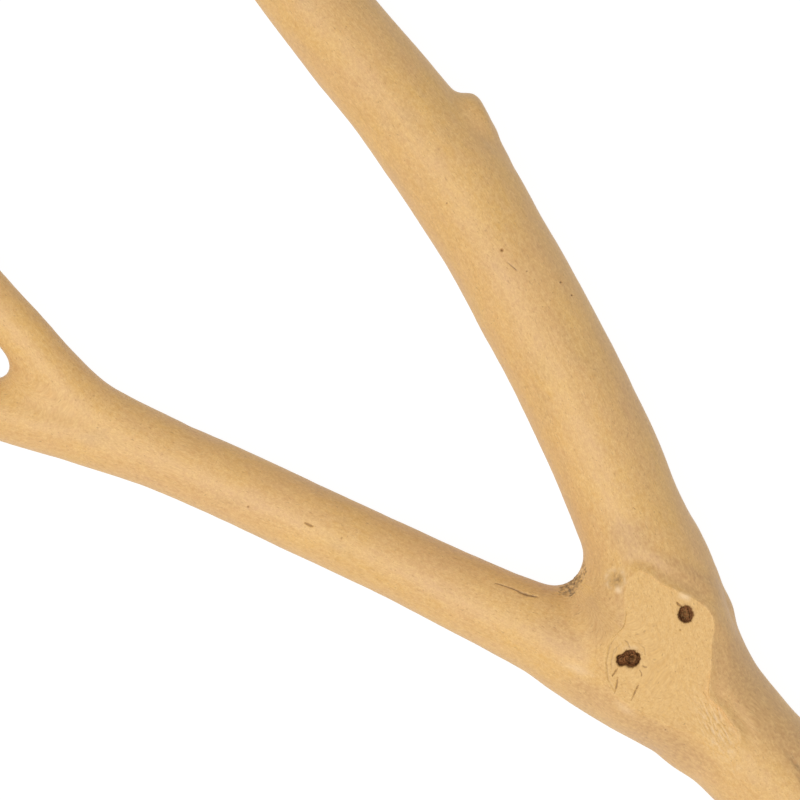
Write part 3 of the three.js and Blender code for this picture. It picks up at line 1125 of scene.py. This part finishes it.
def math_node(tree, operation, first, second=None, clamp=False):
    """A maths node whose inputs are sockets or numbers."""
    node = tree.nodes.new("ShaderNodeMath")
    node.operation = operation
    node.use_clamp = clamp
    for socket, value in zip(node.inputs, (first, second)):
        if value is None:
            continue
        if isinstance(value, bpy.types.NodeSocket):
            tree.links.new(value, socket)
        else:
            socket.default_value = value
    return node.outputs[0]


def scaled(tree, value, by, plus):
    """A socket's value times one number, plus another."""
    result = math_node(tree, "MULTIPLY_ADD", value, by)
    result.node.inputs[2].default_value = plus
    return result


def stretched_noise():
    """Noise stretched along the grain and sharpened to a mask, for fibres, patches and pores."""
    group, given, result = new_group("stretched noise", [
        ("Grain", "NodeSocketVector", None), ("Length", "NodeSocketFloat", 0.01),
        ("Width", "NodeSocketFloat", 0.001), ("Detail", "NodeSocketFloat", 2.0),
        ("Seed", "NodeSocketFloat", 0.0), ("Middle", "NodeSocketFloat", 0.5),
        ("Sharpness", "NodeSocketFloat", 1.0)], [("Mask", "NodeSocketFloat")])
    apart = group.nodes.new("ShaderNodeSeparateXYZ")
    together = group.nodes.new("ShaderNodeCombineXYZ")
    group.links.new(given.outputs["Grain"], apart.inputs[0])
    sizes = ("Length", "Width", "Width")
    for source, size, target in zip(apart.outputs, sizes, together.inputs):
        group.links.new(math_node(group, "DIVIDE", source, given.outputs[size]), target)
    cloud = group.nodes.new("ShaderNodeTexNoise")
    cloud.noise_dimensions = "4D"
    cloud.inputs["Scale"].default_value = 1.0
    group.links.new(together.outputs[0], cloud.inputs["Vector"])
    group.links.new(given.outputs["Seed"], cloud.inputs["W"])
    group.links.new(given.outputs["Detail"], cloud.inputs["Detail"])
    above = math_node(group, "SUBTRACT", cloud.outputs["Fac"], given.outputs["Middle"])
    sharper = math_node(group, "MULTIPLY", above, given.outputs["Sharpness"])
    group.links.new(math_node(group, "ADD", sharper, 0.5, clamp=True), result.inputs["Mask"])
    return group


def laid_over():
    """One colour laid over another by a mask and a strength."""
    group, given, result = new_group("laid over", [
        ("Under", "NodeSocketColor", None), ("Over", "NodeSocketColor", None),
        ("Mask", "NodeSocketFloat", 0.0), ("Strength", "NodeSocketFloat", 1.0)],
        [("Color", "NodeSocketColor")])
    mix = group.nodes.new("ShaderNodeMix")
    mix.data_type = "RGBA"
    amount = math_node(group, "MULTIPLY", given.outputs["Mask"], given.outputs["Strength"], clamp=True)
    group.links.new(amount, mix.inputs["Factor"])
    group.links.new(given.outputs["Under"], mix.inputs["A"])
    group.links.new(given.outputs["Over"], mix.inputs["B"])
    group.links.new(mix.outputs["Result"], result.inputs["Color"])
    return group


STRETCHED, LAID_OVER = stretched_noise(), laid_over()
print("node groups:", [group.name for group in bpy.data.node_groups])

# %% [markdown]
# ## The peeled wood
#
# Peeled wood is pale, with golden and pink areas, thin darker fibres, pores and specks. Each of them is
# one colour laid over the ones before through a mask: first the wide areas, then the fine grain, and
# last the marks that were carved. Painting a picture on the branch would show seams and blur up close.

# %% The peeled wood material
MILD = (0.765, 0.455, 0.15, 1)
GOLDEN = (0.71, 0.415, 0.105, 1)
PINK = (0.665, 0.385, 0.195, 1)
FIBRE = (0.46, 0.255, 0.09, 1)
LIGHT = (0.87, 0.59, 0.255, 1)
PORE = (0.22, 0.12, 0.05, 1)
STAIN = (0.40, 0.29, 0.16, 1)
SAWN = (0.675, 0.395, 0.118, 1)
PALE = (0.84, 0.62, 0.38, 1)
CRACK = (0.20, 0.10, 0.045, 1)
BARK = (0.17, 0.115, 0.075, 1)
PITH = (0.045, 0.014, 0.005, 1)
RUST = (0.36, 0.15, 0.055, 1)
TAN_AND_SHADE = (0.52, 0.292, 0.13, 1)
RING_TURNS = 3900  # radians in a metre, which sets the growth rings 1.6 mm apart
RING_WANDER = 0.006


def read_attribute(tree, name, output="Fac"):
    node = tree.nodes.new("ShaderNodeAttribute")
    node.attribute_name = name
    return node.outputs[output]


def noise_mask(tree, grain, length, width, seed, middle=0.5, sharpness=2.0, detail=2.0):
    """Length and width in millimetres."""
    node = tree.nodes.new("ShaderNodeGroup")
    node.node_tree = STRETCHED
    tree.links.new(grain, node.inputs["Grain"])
    for label, value in (("Length", length * MM), ("Width", width * MM), ("Detail", detail), ("Seed", seed),
                         ("Middle", middle), ("Sharpness", sharpness)):
        node.inputs[label].default_value = value
    return node.outputs["Mask"]


def lay(tree, under, over, mask, strength):
    node = tree.nodes.new("ShaderNodeGroup")
    node.node_tree = LAID_OVER
    if isinstance(under, bpy.types.NodeSocket):
        tree.links.new(under, node.inputs["Under"])
    else:
        node.inputs["Under"].default_value = under
    node.inputs["Over"].default_value = over
    tree.links.new(mask, node.inputs["Mask"])
    node.inputs["Strength"].default_value = strength
    return node.outputs["Color"]


def peeled_wood():
    material = bpy.data.materials.new("peeled wood")
    material.use_nodes = True
    tree = material.node_tree
    shader = tree.nodes["Principled BSDF"]
    grain = read_attribute(tree, "grain", "Vector")
    bare = math_node(tree, "SUBTRACT", 1, read_attribute(tree, "sawn"), clamp=True)
    fibres = noise_mask(tree, grain, 6, 0.45, 1, 0.5, 2.6)
    streaks = noise_mask(tree, grain, 45, 2.2, 2, 0.52, 2.4)
    mottle = noise_mask(tree, grain, 1.5, 0.9, 3, 0.5, 2.6)
    fine = noise_mask(tree, grain, 0.6, 0.35, 4, 0.5, 2.4)
    golden = noise_mask(tree, grain, 34, 15, 5, 0.5, 3.0)
    pink = noise_mask(tree, grain, 26, 12, 6, 0.54, 3.4)
    flushes = noise_mask(tree, grain, 5, 3, 13, 0.52, 4.0)
    blotches = noise_mask(tree, grain, 7, 3.5, 14, 0.5, 4.0)
    stains = noise_mask(tree, grain, 22, 9, 7, 0.66, 6.0, 4.0)
    pores = noise_mask(tree, grain, 1.6, 0.35, 8, 0.69, 14.0, 1.0)
    specks = noise_mask(tree, grain, 0.9, 0.6, 9, 0.74, 22.0, 1.0)

    colour = lay(tree, MILD, GOLDEN, golden, 0.7)
    colour = lay(tree, colour, PINK, pink, 0.6)
    colour = lay(tree, colour, PINK, flushes, 0.35)
    colour = lay(tree, colour, FIBRE, blotches, 0.13)
    colour = lay(tree, colour, STAIN, stains, 0.3)
    # Browner wood that was never sawn, and painted shade in the grooves and on the shaded flanks round the
    # face.
    colour = lay(tree, colour, TAN_AND_SHADE, read_attribute(tree, "browner_and_shade"), 0.85)
    colour = lay(tree, colour, FIBRE, math_node(tree, "MULTIPLY", streaks, bare), 0.16)
    colour = lay(tree, colour, SAWN, read_attribute(tree, "sawn"), 0.85)
    colour = lay(tree, colour, FIBRE, math_node(tree, "MULTIPLY", fibres, bare), 0.2)
    colour = lay(tree, colour, LIGHT, mottle, 0.52)
    colour = lay(tree, colour, FIBRE, fine, 0.46)

    # Growth rings show where the saw went across the shoots, and they are a little uneven.
    uneven = math_node(tree, "MULTIPLY", noise_mask(tree, grain, 9, 5, 10, 0.5, 1.0), RING_WANDER)
    ring = math_node(tree, "ADD", read_attribute(tree, "ring"), uneven)
    turns = math_node(tree, "MULTIPLY", ring, RING_TURNS)
    rings = scaled(tree, math_node(tree, "SINE", turns), 0.5, 0.5)
    ring_lines = math_node(tree, "POWER", rings, 4)
    on_shoots = math_node(tree, "MULTIPLY", read_attribute(tree, "sawn"), golden)
    colour = lay(tree, colour, FIBRE, math_node(tree, "MULTIPLY", ring_lines, on_shoots), 0.12)
    on_ends = math_node(tree, "MULTIPLY", ring_lines, read_attribute(tree, "ends"))
    colour = lay(tree, colour, FIBRE, on_ends, 0.4)

    colour = lay(tree, colour, PORE, pores, 0.3)
    colour = lay(tree, colour, PORE, specks, 0.45)
    # Pale wood, bruised and torn, and the painted highlight of two of the pale spots.
    colour = lay(tree, colour, PALE, read_attribute(tree, "pale"), 0.7)
    colour = lay(tree, colour, CRACK, read_attribute(tree, "crack"), 0.8)
    rough_bark = math_node(tree, "MULTIPLY", read_attribute(tree, "bark"),
                           math_node(tree, "ADD", mottle, 0.35, clamp=True))
    colour = lay(tree, colour, BARK, rough_bark, 0.85)
    colour = lay(tree, colour, PITH, read_attribute(tree, "pith"), 0.94)
    strands = noise_mask(tree, grain, 2.4, 0.5, 12, 0.49, 6.0)
    rusty = math_node(tree, "MULTIPLY", read_attribute(tree, "pith"), strands)
    colour = lay(tree, colour, RUST, rusty, 0.75)
    tree.links.new(colour, shader.inputs["Base Color"])

    broken = math_node(tree, "MAXIMUM", read_attribute(tree, "pith"), read_attribute(tree, "bark"))
    dull = scaled(tree, broken, 0.4, 0.44)
    tree.links.new(math_node(tree, "ADD", dull, math_node(tree, "MULTIPLY", mottle, 0.12)),
                   shader.inputs["Roughness"])
    tree.links.new(scaled(tree, broken, -0.4, 0.5), shader.inputs["Specular IOR Level"])
    height = math_node(tree, "ADD", math_node(tree, "MULTIPLY", fibres, -0.5),
                       math_node(tree, "ADD", mottle, math_node(tree, "MULTIPLY", pores, -1.2)))
    bump = tree.nodes.new("ShaderNodeBump")
    bump.inputs["Strength"].default_value = 0.5
    bump.inputs["Distance"].default_value = 0.06 * MM
    tree.links.new(height, bump.inputs["Height"])
    tree.links.new(bump.outputs["Normal"], shader.inputs["Normal"])
    shader.inputs["IOR"].default_value = 1.45
    return material


wood = peeled_wood()
for name, piece in pieces.items():
    piece.data.materials.append(wood)
    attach(piece, "root")
    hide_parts(name)
print("one material,", len(wood.node_tree.nodes), "nodes, on", len(pieces), "pieces")

# %% [markdown]
# ## The lights
#
# Wood like this is shown in even light: a wide soft light a little to the lower left of straight above,
# a faint one on the far side, and white all round. A sun lamp would give hard shadows, so both lights
# are areas.

# %% The lights
def set_world():
    world = bpy.data.worlds.new("studio")
    world.use_nodes = True
    tree = world.node_tree
    around = tree.nodes["Background"]
    around.inputs["Color"].default_value = (1, 1, 1, 1)
    path = tree.nodes.new("ShaderNodeLightPath")
    seen = scaled(tree, path.outputs["Is Camera Ray"], 1 - WORLD_STRENGTH, WORLD_STRENGTH)
    tree.links.new(seen, around.inputs["Strength"])
    bpy.context.scene.world = world


WORLD_STRENGTH = 0.5
KEY_PLACE = Vector((-0.3, -0.34, 1.15))
KEY_SIZE = 0.9
KEY_ENERGY = 11.3
FILL_PLACE = Vector((1.2, 0.7, 0.6))
FILL_SIZE = 0.9
FILL_ENERGY = 0.4
bpy.context.scene.view_settings.view_transform = "Standard"
set_world()
for name, place, size, energy in (("key", KEY_PLACE, KEY_SIZE, KEY_ENERGY),
                                  ("fill", FILL_PLACE, FILL_SIZE, FILL_ENERGY)):
    clear_selection()
    bpy.ops.object.light_add(type="AREA", location=place, rotation=place.to_track_quat("Z", "Y").to_euler())
    light = bpy.context.object
    light.name = name
    light.data.size = size
    light.data.energy = energy
    print(name, "light,", energy, "W, faces the branch from", tuple(round(c, 2) for c in place))

# %% [markdown]
# ## The floor
#
# The branch lies on plain white. A white floor looks grey wherever the branch shades it, so this one
# glows. It is only the stage, so it isn't part of the branch.

# %% The floor
FLOOR_SIZE = 8
FLOOR_GLOW = 0.95


def glowing_white():
    material = bpy.data.materials.new("glowing white")
    material.use_nodes = True
    shader = material.node_tree.nodes["Principled BSDF"]
    shader.inputs["Base Color"].default_value = (0.1, 0.1, 0.1, 1)
    shader.inputs["Roughness"].default_value = 0.9
    shader.inputs["Specular IOR Level"].default_value = 0
    shader.inputs["Emission Color"].default_value = (1, 1, 1, 1)
    shader.inputs["Emission Strength"].default_value = FLOOR_GLOW
    return material


clear_selection()
bpy.ops.mesh.primitive_plane_add(size=FLOOR_SIZE)
floor = bpy.context.object
floor.name = "floor"
floor.data.materials.append(glowing_white())
print("floor:", FLOOR_SIZE, "m wide, glowing at", FLOOR_GLOW)

# %% [markdown]
# ## The camera
#
# The camera looks straight down on the sawn face. It stands far back with a long lens, so that the
# limbs keep their thickness towards the picture's edges.

# %% The camera
SHOWN_WIDTH = 0.240
SHOWN_HEIGHT = 0.020
CAMERA_RISE = 1.6
SENSOR = 36.0
clear_selection()
bpy.ops.object.camera_add(location=from_fork(-80, 80) + Vector((0, 0, SHOWN_HEIGHT + CAMERA_RISE)),
                          rotation=(0, 0, 0))
camera = bpy.context.object
camera.name = "camera"
camera.data.sensor_width = SENSOR
camera.data.lens = SENSOR * CAMERA_RISE / SHOWN_WIDTH
bpy.context.scene.camera = camera
print("camera:", round(camera.data.lens), "mm lens,", CAMERA_RISE, "m above the branch")
